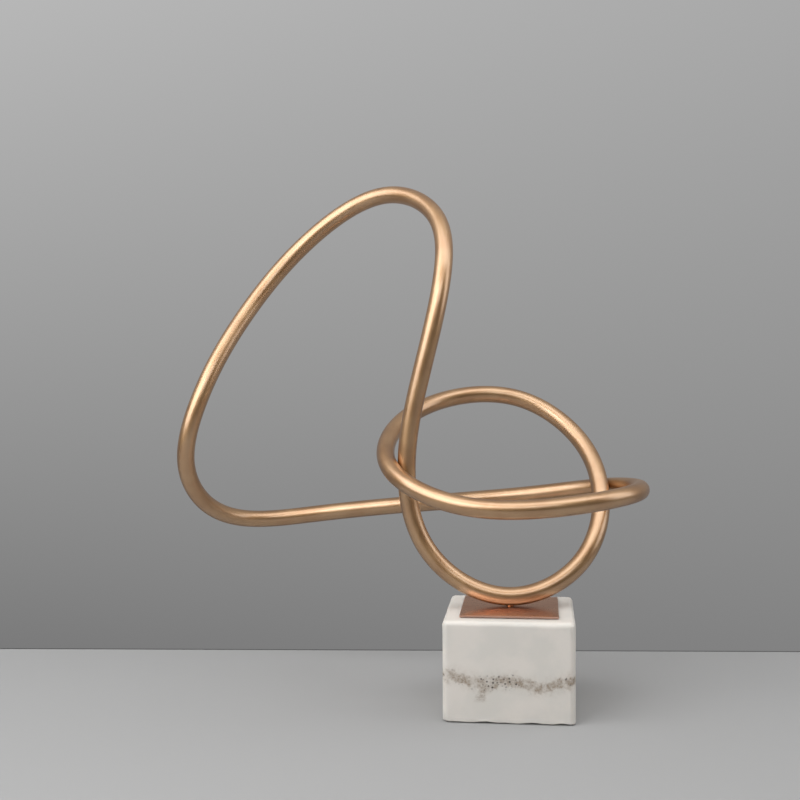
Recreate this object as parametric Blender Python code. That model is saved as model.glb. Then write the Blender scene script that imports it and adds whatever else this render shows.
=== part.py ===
"""Knot sculpture: one closed bent tube standing on a plated plate and a marble block.

The tube runs in one unbroken line through three rings. A standing ring rests on the plate, its left
side rises on into a big slanted loop, and the loop's foot runs back into a lying ring that passes round
the standing one. Metres, +Z up, the origin on the table under the middle of the block, -Y to the front.
"""

import math

import bmesh
import bpy
import numpy as np
from mathutils import Matrix

# Overall sizes
OVERALL_WIDTH = 0.300
OVERALL_DEPTH = 0.140
OVERALL_HEIGHT = 0.325

# The tube and its inner pieces
TUBE_OUTER = 0.0112
TUBE_WALL = 0.0010
SLEEVE_LENGTH = 0.030
SLEEVE_WALL = 0.0012
FOOT_PLUG_LENGTH = 0.034
FOOT_JOINT_OFFSET = 0.011

# The base
BLOCK_SIDE = 0.077
BLOCK_HEIGHT = 0.0585
BLOCK_ROUND = 0.0030
BLOCK_CHAMFER = 0.0012
PLATE_SIDE = 0.058
PLATE_THICKNESS = 0.0010
PAD_INSET = 0.0035
PAD_THICKNESS = 0.0006
PAD_CORNER = 0.0030

# The fixing bolt from below, with its washers in a counterbore
BOLT_SHANK = 0.0040
BOLT_HEAD_ACROSS = 0.0070
BOLT_HEAD_HEIGHT = 0.0040
BOLT_SOCKET_ACROSS = 0.0030
BOLT_SOCKET_DEPTH = 0.0020
BOLT_REACH = 0.0020
BOLT_TIP_CHAMFER = 0.0006
WASHER_OUTER = 0.0120
WASHER_THICKNESS = 0.0010
SPRING_WASHER_OUTER = 0.0076
SPRING_WASHER_THICKNESS = 0.0011
SPRING_WASHER_SLIT = 0.0010
COUNTERBORE_DEPTH = 0.0100
COUNTERBORE_ROOM = 0.0015

# Clearances
CONTACT_GAP = 0.0003
BOLT_CLEARANCE = 0.0004
PASS_GAP = 0.0006

# Fineness of the solids, and how far a hole's tool runs past the faces that it opens
TUBE_SIDES = 14
TUBE_STEP = 0.0090
END_STEP = 0.0010
ROUND_SIDES = 28
CORNER_STEPS = 4
SPLINE_SAMPLES = 24
SHARP_ANGLE = math.radians(35)
SAME_PLACE = 0.00001
CUT_OVERRUN = 0.0005

# Heights of the stack, from the table up
BLOCK_FOOT = PAD_THICKNESS + CONTACT_GAP
BLOCK_TOP = BLOCK_FOOT + BLOCK_HEIGHT
PLATE_FOOT = BLOCK_TOP + CONTACT_GAP
PLATE_TOP = PLATE_FOOT + PLATE_THICKNESS
TUBE_RADIUS = TUBE_OUTER / 2
SEAT_HEIGHT = PLATE_TOP + CONTACT_GAP + TUBE_RADIUS
BORE_RADIUS = TUBE_RADIUS - TUBE_WALL
INNER_RADIUS = BORE_RADIUS - CONTACT_GAP
CEILING = BLOCK_FOOT + COUNTERBORE_DEPTH
BOLT_HOLE_RADIUS = BOLT_SHANK / 2 + BOLT_CLEARANCE

# Reaches of the tube's middle line: across, from front to back, and up
RING_LEFT = -0.063
RING_RIGHT = 0.0555
RING_TOP = 0.186
RING_PAST_BACK = 0.001
LYING_LEFT = -0.077
LYING_RIGHT = 0.079
LYING_FRONT = -0.040
LYING_BACK = LYING_FRONT + OVERALL_DEPTH - TUBE_OUTER
LYING_LOW = 0.125
LYING_HIGH = 0.160
LOOP_LEFT = LYING_RIGHT + TUBE_OUTER - OVERALL_WIDTH
LOOP_RIGHT = -0.0412
LOOP_FRONT = 0.003
LOOP_FOOT = 0.102
LOOP_TOP = OVERALL_HEIGHT - TUBE_RADIUS
RING_BACK = LYING_BACK + RING_PAST_BACK


class Envelope:
    """The space that one ring's middle line fills, read in shares from 0 to 1 each way."""

    def __init__(self, across, deep, up):
        self.low = np.array((across[0], deep[0], up[0]))
        self.size = np.array((across[1], deep[1], up[1])) - self.low

    def point(self, across, deep, up):
        """The point at these shares from left to right, from front to back, and from bottom to top."""
        return self.low + self.size * (across, deep, up)


STANDING_RING = Envelope((RING_LEFT, RING_RIGHT), (0.0, RING_BACK), (SEAT_HEIGHT, RING_TOP))
LYING_RING = Envelope((LYING_LEFT, LYING_RIGHT), (LYING_FRONT, LYING_BACK), (LYING_LOW, LYING_HIGH))
BIG_LOOP = Envelope((LOOP_LEFT, LOOP_RIGHT), (LOOP_FRONT, LYING_BACK), (LOOP_FOOT, LOOP_TOP))

# Where the tube passes close by itself, the middle lines stand apart along these directions
FRONT_PASS_AWAY = np.array((-0.80, -0.60, 0.02))
BACK_PASS_AWAY = np.array((0.66, 0.63, -0.41))


def pass_beside(point, away):
    """The stop of the outer tube where it passes the inner one at this point."""
    return point + away / np.linalg.norm(away) * (TUBE_OUTER + PASS_GAP)


def route_stops():
    """The points that the tube's middle line goes through, in order round the closed curve."""
    front_pass = STANDING_RING.point(0.000, 0.040, 0.655)
    back_pass = STANDING_RING.point(1.000, 0.555, 0.550)
    return {
        "foot": np.array((0.0, 0.0, SEAT_HEIGHT)),
        "ring_lower_left": STANDING_RING.point(0.110, 0.030, 0.225),
        "rise_at_front_pass": front_pass,
        "rise_middle": BIG_LOOP.point(0.930, 0.000, 0.470),
        "rise_upper": BIG_LOOP.point(1.000, 0.100, 0.730),
        "loop_upper_right": BIG_LOOP.point(0.960, 0.450, 0.920),
        "loop_top": BIG_LOOP.point(0.745, 0.805, 1.000),
        "loop_upper_left": BIG_LOOP.point(0.425, 0.895, 0.865),
        "loop_slant": BIG_LOOP.point(0.200, 0.650, 0.640),
        "loop_left": BIG_LOOP.point(0.055, 0.300, 0.380),
        "loop_far_left": BIG_LOOP.point(0.000, 0.300, 0.195),
        "loop_lower_left": BIG_LOOP.point(0.045, 0.545, 0.060),
        "loop_foot": BIG_LOOP.point(0.165, 0.835, 0.000),
        "back_run_left": BIG_LOOP.point(0.415, 1.000, 0.005),
        "back_run_middle": BIG_LOOP.point(0.760, 1.000, 0.035),
        "back_run_right": LYING_RING.point(0.610, 0.950, -0.155),
        "lying_back_right": pass_beside(back_pass, BACK_PASS_AWAY),
        "lying_right": LYING_RING.point(1.000, 0.490, 0.145),
        "lying_front_right": LYING_RING.point(0.950, 0.240, 0.145),
        "lying_front": LYING_RING.point(0.610, 0.015, 0.000),
        "lying_front_left": LYING_RING.point(0.300, 0.040, 0.055),
        "lying_at_front_pass": pass_beside(front_pass, FRONT_PASS_AWAY),
        "lying_left": LYING_RING.point(0.000, 0.520, 1.000),
        "ring_upper_left": STANDING_RING.point(0.120, 0.835, 0.965),
        "ring_top": STANDING_RING.point(0.565, 1.000, 0.975),
        "ring_upper_right": STANDING_RING.point(0.860, 0.865, 0.800),
        "ring_at_back_pass": back_pass,
        "ring_lower_right": STANDING_RING.point(0.885, 0.145, 0.150),
    }


class ClosedRoute:
    """A smooth closed curve through named stops, read by its length from the first stop."""

    def __init__(self, stops):
        self.names = list(stops)
        knots = np.array([tuple(point) for point in stops.values()])
        after = np.roll(knots, -1, axis=0)
        spans = np.linalg.norm(after - knots, axis=1)
        slopes = self.slopes_of(knots, after, spans)
        share = np.linspace(0.0, 1.0, SPLINE_SAMPLES, endpoint=False)[:, None]
        stretches = []
        for i, span in enumerate(spans):
            start, end = knots[i], after[i]
            leave, arrive = slopes[i] * span, slopes[(i + 1) % len(knots)] * span
            stretches.append(
                (2 * share**3 - 3 * share**2 + 1) * start
                + (share**3 - 2 * share**2 + share) * leave
                + (3 * share**2 - 2 * share**3) * end
                + (share**3 - share**2) * arrive
            )
        self.points = np.vstack(stretches + [knots[:1]])
        steps = np.linalg.norm(np.diff(self.points, axis=0), axis=1)
        self.travel = np.concatenate([[0.0], np.cumsum(steps)])
        self.length = self.travel[-1]

    @staticmethod
    def slopes_of(knots, after, spans):
        """The slope at each stop that keeps the curve's bend unbroken all round."""
        count = len(knots)
        before_span = np.roll(spans, 1)
        system = np.zeros((count, count))
        for i in range(count):
            system[i, i - 1] += 1 / before_span[i]
            system[i, i] += 2 / before_span[i] + 2 / spans[i]
            system[i, (i + 1) % count] += 1 / spans[i]
        rise_after = (after - knots) / spans[:, None] ** 2
        rise_before = np.roll(rise_after, 1, axis=0)
        return np.linalg.solve(system, 3 * (rise_after + rise_before))

    def at(self, name):
        """How far along the curve the named stop lies."""
        return self.travel[self.names.index(name) * SPLINE_SAMPLES]

    def stretch(self, start, end, step):
        """Evenly spaced points from one length along the curve to another, past the first stop too.

        A short first and last step follows the curve's own direction there, so that the ends are square.
        """
        count = max(4, math.ceil((end - start) / step))
        lengths = np.linspace(start, end, count + 1)
        lengths = np.concatenate([lengths[:1], [start + END_STEP], lengths[1:-1], [end - END_STEP], lengths[-1:]])
        lengths = lengths % self.length
        columns = [np.interp(lengths, self.travel, self.points[:, axis]) for axis in range(3)]
        return np.stack(columns, axis=1)

    def least_gap(self, apart):
        """The least room between two stretches of the tube that lie this far apart along it."""
        points, lengths = self.points[:-1:4], self.travel[:-1:4]
        along = np.abs(lengths[:, None] - lengths[None, :])
        along = np.minimum(along, self.length - along)
        between = np.linalg.norm(points[:, None, :] - points[None, :, :], axis=2)
        return between[along > apart].min() - TUBE_OUTER


def clear_scene():
    """Removes the objects that the file opens with."""
    for old in list(bpy.data.objects):
        bpy.data.objects.remove(old, do_unlink=True)


def finish(name, colour, roughness, metallic=1.0):
    """A Principled finish of one colour, metal unless it says otherwise."""
    made = bpy.data.materials.new(name)
    made.use_nodes = True
    shader = made.node_tree.nodes["Principled BSDF"]
    shader.inputs["Base Color"].default_value = (*colour, 1.0)
    shader.inputs["Roughness"].default_value = roughness
    shader.inputs["Metallic"].default_value = metallic
    made.diffuse_color = (*colour, 1.0)
    return made


def add_object(name, mesh, material, parent, location=(0.0, 0.0, 0.0)):
    """One named piece of the sculpture, shaded smooth with its hard edges kept."""
    piece = bpy.data.objects.new(name, mesh)
    bpy.context.scene.collection.objects.link(piece)
    piece.location = location
    piece.parent = parent
    mesh.materials.append(material)
    mesh.shade_smooth()
    mesh.set_sharp_from_angle(angle=SHARP_ANGLE)
    return piece


def mesh_from(builder, name):
    """Closes a bmesh and hands over its mesh."""
    bmesh.ops.recalc_face_normals(builder, faces=builder.faces)
    mesh = bpy.data.meshes.new(name)
    builder.to_mesh(mesh)
    builder.free()
    return mesh


def swept_mesh(name, points, radius):
    """The open skin of a round bar that follows the points, made by a bevelled curve."""
    curve = bpy.data.curves.new(name, "CURVE")
    curve.dimensions = "3D"
    curve.bevel_depth = radius
    curve.bevel_resolution = TUBE_SIDES // 2 - 2
    spline = curve.splines.new("POLY")
    spline.points.add(len(points) - 1)
    for spot, place in zip(spline.points, points):
        spot.co = (*place, 1.0)
    guide = bpy.data.objects.new(name + "_guide", curve)
    bpy.context.scene.collection.objects.link(guide)
    graph = bpy.context.evaluated_depsgraph_get()
    mesh = bpy.data.meshes.new_from_object(guide.evaluated_get(graph))
    bpy.data.objects.remove(guide, do_unlink=True)
    mesh.materials.clear()
    return mesh


def tube_piece(name, points, radius, wall, material, parent):
    """A bent tube with open ends: its wall grows inwards from the outer skin."""
    mesh = swept_mesh(name, points, radius)
    tube = add_object(name, mesh, material, parent)
    shell = tube.modifiers.new("wall", "SOLIDIFY")
    shell.thickness = wall
    shell.offset = -1.0
    shell.use_even_offset = True
    return tube


def bar_piece(name, points, radius, material, parent):
    """A bent solid bar with flat ends."""
    skin = swept_mesh(name, points, radius)
    builder = bmesh.new()
    builder.from_mesh(skin)
    open_edges = [edge for edge in builder.edges if edge.is_boundary]
    bmesh.ops.holes_fill(builder, edges=open_edges)
    return add_object(name, mesh_from(builder, name), material, parent)


def disc_mesh(name, radius, height, sides=ROUND_SIDES):
    """An upright cylinder standing on its own origin."""
    builder = bmesh.new()
    raised = Matrix.Translation((0.0, 0.0, height / 2))
    bmesh.ops.create_cone(
        builder, cap_ends=True, segments=sides, radius1=radius, radius2=radius, depth=height, matrix=raised
    )
    return mesh_from(builder, name)


def drill(pieces, name, radius, low, high, sides=ROUND_SIDES):
    """Cuts one upright hole on the middle axis, between these heights, out of every piece named."""
    tool = bpy.data.objects.new(name, disc_mesh(name, radius, high - low, sides))
    bpy.context.scene.collection.objects.link(tool)
    tool.location = (0.0, 0.0, low)
    tool.hide_render = True
    tool.display_type = "WIRE"
    for piece in pieces:
        boolean = piece.modifiers.new("cut_" + name, "BOOLEAN")
        boolean.operation = "DIFFERENCE"
        boolean.solver = "EXACT"
        boolean.object = tool


def slab_builder(side, height):
    """A square slab standing on its own origin."""
    builder = bmesh.new()
    bmesh.ops.create_cube(builder, size=1.0)
    bmesh.ops.scale(builder, vec=(side, side, height), verts=builder.verts)
    bmesh.ops.translate(builder, vec=(0.0, 0.0, height / 2), verts=builder.verts)
    return builder


def upright_edges(builder):
    """The edges that run straight up."""
    return [edge for edge in builder.edges if abs(edge.verts[0].co.z - edge.verts[1].co.z) > SAME_PLACE]


def rim_edges(builder, height):
    """The edges that lie all round at this height."""
    return [
        edge for edge in builder.edges if all(abs(corner.co.z - height) < SAME_PLACE for corner in edge.verts)
    ]


def soften(builder, edges, size, steps=CORNER_STEPS):
    """Rounds these edges, or chamfers them when there is one step."""
    bmesh.ops.bevel(builder, geom=edges, offset=size, segments=steps, profile=0.5, affect="EDGES")


def make_block(material, parent):
    """The marble block: soft top and upright edges, a small chamfer below, drilled and counterbored."""
    builder = slab_builder(BLOCK_SIDE, BLOCK_HEIGHT)
    soften(builder, upright_edges(builder) + rim_edges(builder, BLOCK_HEIGHT), BLOCK_ROUND)
    soften(builder, rim_edges(builder, 0.0), BLOCK_CHAMFER, steps=1)
    block = add_object("marble_block", mesh_from(builder, "marble_block"), material, parent, (0, 0, BLOCK_FOOT))
    opened = BLOCK_FOOT - CUT_OVERRUN
    drill([block], "block_bore", BOLT_HOLE_RADIUS, opened, BLOCK_TOP + CUT_OVERRUN)
    drill([block], "block_recess", WASHER_OUTER / 2 + COUNTERBORE_ROOM, opened, CEILING)


def make_plate(material, parent):
    """The thin plated plate between the tube and the block, with its bolt hole."""
    mesh = mesh_from(slab_builder(PLATE_SIDE, PLATE_THICKNESS), "foot_plate")
    plate = add_object("foot_plate", mesh, material, parent, (0, 0, PLATE_FOOT))
    drill([plate], "plate_hole", BOLT_HOLE_RADIUS, PLATE_FOOT - CUT_OVERRUN, PLATE_TOP + CUT_OVERRUN)


def make_pad(material, parent):
    """The thin foam sheet that the block rests on and that covers the bolt's recess."""
    builder = slab_builder(BLOCK_SIDE - 2 * PAD_INSET, PAD_THICKNESS)
    soften(builder, upright_edges(builder), PAD_CORNER)
    add_object("base_pad", mesh_from(builder, "base_pad"), material, parent)


def make_washer(material, parent, top):
    """The wide flat washer under the counterbore's ceiling; gives the height of its underside."""
    foot = top - WASHER_THICKNESS
    mesh = disc_mesh("flat_washer", WASHER_OUTER / 2, WASHER_THICKNESS)
    washer = add_object("flat_washer", mesh, material, parent, (0, 0, foot))
    drill([washer], "washer_hole", BOLT_HOLE_RADIUS, foot - CUT_OVERRUN, top + CUT_OVERRUN)
    return foot


def make_spring_washer(material, parent, top):
    """The split spring washer, turned round the bolt as far as its slit; gives its underside."""
    foot = top - SPRING_WASHER_THICKNESS
    outer = SPRING_WASHER_OUTER / 2
    builder = bmesh.new()
    corners = (
        (BOLT_HOLE_RADIUS, 0.0),
        (outer, 0.0),
        (outer, SPRING_WASHER_THICKNESS),
        (BOLT_HOLE_RADIUS, SPRING_WASHER_THICKNESS),
    )
    profile = builder.faces.new([builder.verts.new((x, 0.0, z)) for x, z in corners])
    turn = 2 * math.pi - SPRING_WASHER_SLIT / BOLT_HOLE_RADIUS
    bmesh.ops.spin(
        builder, geom=[profile], cent=(0, 0, 0), axis=(0, 0, 1), angle=turn, steps=ROUND_SIDES, use_merge=False
    )
    add_object("spring_washer", mesh_from(builder, "spring_washer"), material, parent, (0, 0, foot))
    return foot


def make_bolt(material, parent, top):
    """The socket bolt: its head hangs under the washers and its shank reaches into the foot plug."""
    foot = top - BOLT_HEAD_HEIGHT
    end = SEAT_HEIGHT + BOLT_REACH - foot
    profile = (
        (0.0, 0.0),
        (BOLT_HEAD_ACROSS / 2, 0.0),
        (BOLT_HEAD_ACROSS / 2, BOLT_HEAD_HEIGHT),
        (BOLT_SHANK / 2, BOLT_HEAD_HEIGHT),
        (BOLT_SHANK / 2, end - BOLT_TIP_CHAMFER),
        (BOLT_SHANK / 2 - BOLT_TIP_CHAMFER, end),
        (0.0, end),
    )
    builder = bmesh.new()
    spots = [builder.verts.new((x, 0.0, z)) for x, z in profile]
    edges = [builder.edges.new(pair) for pair in zip(spots, spots[1:])]
    bmesh.ops.spin(
        builder,
        geom=spots + edges,
        cent=(0, 0, 0),
        axis=(0, 0, 1),
        angle=2 * math.pi,
        steps=ROUND_SIDES,
        use_merge=True,
    )
    bmesh.ops.remove_doubles(builder, verts=builder.verts, dist=SAME_PLACE)
    bolt = add_object("fixing_bolt", mesh_from(builder, "fixing_bolt"), material, parent, (0, 0, foot))
    socket_radius = BOLT_SOCKET_ACROSS / math.sqrt(3)
    drill([bolt], "bolt_socket", socket_radius, foot - CUT_OVERRUN, foot + BOLT_SOCKET_DEPTH, sides=6)


def make_fixings(material, parent):
    """The bolt and its washers, stacked down from the counterbore's ceiling."""
    under_washer = make_washer(material, parent, CEILING - CONTACT_GAP)
    under_spring = make_spring_washer(material, parent, under_washer - CONTACT_GAP)
    make_bolt(material, parent, under_spring - CONTACT_GAP)


def make_tube(route, paint, steel, parent):
    """The closed tube: three bent lengths that butt together, with their inner sleeves and foot plug."""
    half_gap = CONTACT_GAP / 2
    foot_joint = route.length - FOOT_JOINT_OFFSET
    back_joint = route.at("back_run_middle")
    hidden_joint = (route.at("lying_left") + route.at("ring_upper_left")) / 2
    lengths = (
        ("big_loop_tube", foot_joint - route.length, back_joint),
        ("lying_ring_tube", back_joint, hidden_joint),
        ("standing_ring_tube", hidden_joint, foot_joint),
    )
    made = {}
    for name, start, end in lengths:
        points = route.stretch(start + half_gap, end - half_gap, TUBE_STEP)
        made[name] = tube_piece(name, points, TUBE_RADIUS, TUBE_WALL, paint, parent)
    for name, middle in (("back_joint_sleeve", back_joint), ("hidden_joint_sleeve", hidden_joint)):
        points = route.stretch(middle - SLEEVE_LENGTH / 2, middle + SLEEVE_LENGTH / 2, TUBE_STEP / 2)
        tube_piece(name, points, INNER_RADIUS, SLEEVE_WALL, steel, parent)
    points = route.stretch(-FOOT_PLUG_LENGTH / 2, FOOT_PLUG_LENGTH / 2, TUBE_STEP / 2)
    plug = bar_piece("foot_plug", points, INNER_RADIUS, steel, parent)
    hole_end = SEAT_HEIGHT + BOLT_REACH + CONTACT_GAP
    drill([made["big_loop_tube"], plug], "foot_hole", BOLT_HOLE_RADIUS, PLATE_TOP, hole_end)


def build():
    """Builds the sculpture."""
    clear_scene()
    paint = finish("champagne_gold_paint", (0.62, 0.44, 0.25), 0.34)
    copper = finish("polished_rose_plating", (0.48, 0.27, 0.19), 0.08)
    steel = finish("zinc_plated_steel", (0.62, 0.63, 0.65), 0.30)
    marble = finish("honed_white_marble", (0.78, 0.76, 0.73), 0.38, 0.0)
    foam = finish("black_foam", (0.03, 0.03, 0.03), 0.85, 0.0)

    stand = bpy.data.objects.new("sculpture", None)
    bpy.context.scene.collection.objects.link(stand)

    route = ClosedRoute(route_stops())
    make_tube(route, paint, steel, stand)
    make_plate(copper, stand)
    make_block(marble, stand)
    make_pad(foam, stand)
    make_fixings(steel, stand)
    print(f"tube length {route.length:.3f} m, least gap to itself {1000 * route.least_gap(0.08):.2f} mm")


build()
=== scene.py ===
"""Knot sculpture, dressed: a tube in champagne-gold paint on a rose-plated plate and a white marble block.

Metres, in the frame of the solids: +Z up, -Y to the front, the origin on the table under the middle of
the block. The tube repeats the stops of the solids' own route.
"""

import logging
import math
from dataclasses import dataclass
from enum import Enum
from typing import Any, Sequence, Union

import bmesh
import bpy
import numpy as np
from mathutils import Matrix, Vector, noise


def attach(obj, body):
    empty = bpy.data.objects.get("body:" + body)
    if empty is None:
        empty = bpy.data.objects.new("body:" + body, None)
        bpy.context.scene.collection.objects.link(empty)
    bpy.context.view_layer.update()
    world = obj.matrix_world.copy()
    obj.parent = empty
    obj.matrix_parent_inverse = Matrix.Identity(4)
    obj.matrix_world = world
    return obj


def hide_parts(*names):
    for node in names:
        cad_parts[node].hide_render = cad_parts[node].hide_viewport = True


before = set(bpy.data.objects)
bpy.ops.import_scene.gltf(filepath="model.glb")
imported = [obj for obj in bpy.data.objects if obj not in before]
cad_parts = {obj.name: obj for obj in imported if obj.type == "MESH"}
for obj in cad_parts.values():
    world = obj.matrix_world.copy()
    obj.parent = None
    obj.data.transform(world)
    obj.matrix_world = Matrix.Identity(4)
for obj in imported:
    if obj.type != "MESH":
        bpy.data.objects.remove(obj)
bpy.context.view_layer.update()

BODY = "root"
LOG = logging.getLogger("sculpture")

Colour = tuple[float, float, float]
Place = tuple[float, float, float]
Span = tuple[float, float]
Stop = tuple[str, float, float, float]
Operand = Union["Signal", float]

BLOCK_SIDE = 0.077
PLATE_SIDE = 0.058
SHARP_ANGLE = math.radians(50)
SCULPTURE_MIDDLE: Place = (-0.06, 0.03, 0.17)

TUBE_STOPS: tuple[Stop, ...] = (
    ("foot", 0.00000, 0.00000, 0.06660),
    ("ring_lower_left", -0.04997, 0.00269, 0.09347),
    ("rise_at_front_pass", -0.06300, 0.00359, 0.14481),
    ("rise_middle", -0.05300, 0.00300, 0.20418),
    ("rise_upper", -0.04120, 0.01158, 0.26070),
    ("loop_upper_right", -0.04794, 0.04161, 0.30201),
    ("loop_top", -0.08419, 0.07207, 0.31923),
    ("loop_upper_left", -0.13815, 0.07979, 0.29005),
    ("loop_slant", -0.17608, 0.05877, 0.24114),
    ("loop_left", -0.20053, 0.02874, 0.18461),
    ("loop_far_left", -0.20966, 0.02874, 0.14439),
    ("loop_lower_left", -0.20221, 0.04976, 0.11504),
    ("loop_foot", -0.18198, 0.07464, 0.10200),
    ("back_run_left", -0.13983, 0.08872, 0.10309),
    ("back_run_middle", -0.08166, 0.08872, 0.10961),
    ("back_run_right", 0.01816, 0.08236, 0.11958),
    ("lying_back_right", 0.06329, 0.05727, 0.12743),
    ("lying_right", 0.07888, 0.02311, 0.13007),
    ("lying_front_right", 0.07120, -0.00909, 0.13007),
    ("lying_front", 0.01816, -0.03796, 0.12500),
    ("lying_front_left", -0.03020, -0.03485, 0.12693),
    ("lying_at_front_pass", -0.07244, -0.00349, 0.14504),
    ("lying_left", -0.07700, 0.02698, 0.16000),
    ("ring_upper_left", -0.04878, 0.07498, 0.18182),
    ("ring_top", 0.00395, 0.08950, 0.18301),
    ("ring_upper_right", 0.03891, 0.07768, 0.16212),
    ("ring_at_back_pass", 0.05550, 0.04984, 0.13227),
    ("ring_lower_right", 0.04187, 0.01302, 0.08451),
)


class Slot(Enum):
    """The names of the material slots."""

    PAINT = "champagne_paint"
    STEEL = "zinc_steel"
    PLATING = "rose_plating"
    MARBLE = "white_marble"
    FOAM = "black_foam"


class Signal:
    """One node output that works in arithmetic; each operation adds a Math node to its sheet."""

    def __init__(self, sheet: "ShaderSheet", socket: bpy.types.NodeSocket) -> None:
        """Wraps an output socket of a node on the sheet."""
        self.sheet = sheet
        self.socket = socket

    def math(self, operation: str, *operands: Operand) -> "Signal":
        """Adds one Math node.

        Args:
            operation: the node's operation.
            operands: its inputs in order, signals or plain numbers.

        Returns:
            The node's value.
        """
        return self.sheet.add("ShaderNodeMath", {"operation": operation}, dict(enumerate(operands)))

    def __add__(self, other: Operand) -> "Signal":
        """Sum."""
        return self.math("ADD", self, other)

    def __radd__(self, other: float) -> "Signal":
        """Sum with a number in front."""
        return self.math("ADD", other, self)

    def __sub__(self, other: Operand) -> "Signal":
        """Difference."""
        return self.math("SUBTRACT", self, other)

    def __rsub__(self, other: float) -> "Signal":
        """Difference from a number."""
        return self.math("SUBTRACT", other, self)

    def __mul__(self, other: Operand) -> "Signal":
        """Product."""
        return self.math("MULTIPLY", self, other)

    def __rmul__(self, other: float) -> "Signal":
        """Product with a number in front."""
        return self.math("MULTIPLY", other, self)

    def __truediv__(self, other: Operand) -> "Signal":
        """Quotient."""
        return self.math("DIVIDE", self, other)

    def __rtruediv__(self, other: float) -> "Signal":
        """A number divided by this."""
        return self.math("DIVIDE", other, self)

    def __abs__(self) -> "Signal":
        """Size without its sign."""
        return self.math("ABSOLUTE", self)

    def step(self, low: float, high: float) -> "Signal":
        """Rises smoothly from 0 to 1.

        Args:
            low: the value that gives 0.
            high: the value that gives 1; below low, the step falls instead.

        Returns:
            The step, held between 0 and 1.
        """
        if high < low:
            return 1.0 - self.step(high, low)
        settings = {"interpolation_type": "SMOOTHSTEP", "clamp": True}
        return self.sheet.add("ShaderNodeMapRange", settings, {0: self, 1: low, 2: high, 3: 0.0, 4: 1.0})

    def swing(self, width: float) -> "Signal":
        """Noise around 0.5 as a value that swings this widely around 0."""
        return (self - 0.5) * width

    def larger(self, other: Operand) -> "Signal":
        """The larger of the two."""
        return self.math("MAXIMUM", self, other)


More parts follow.
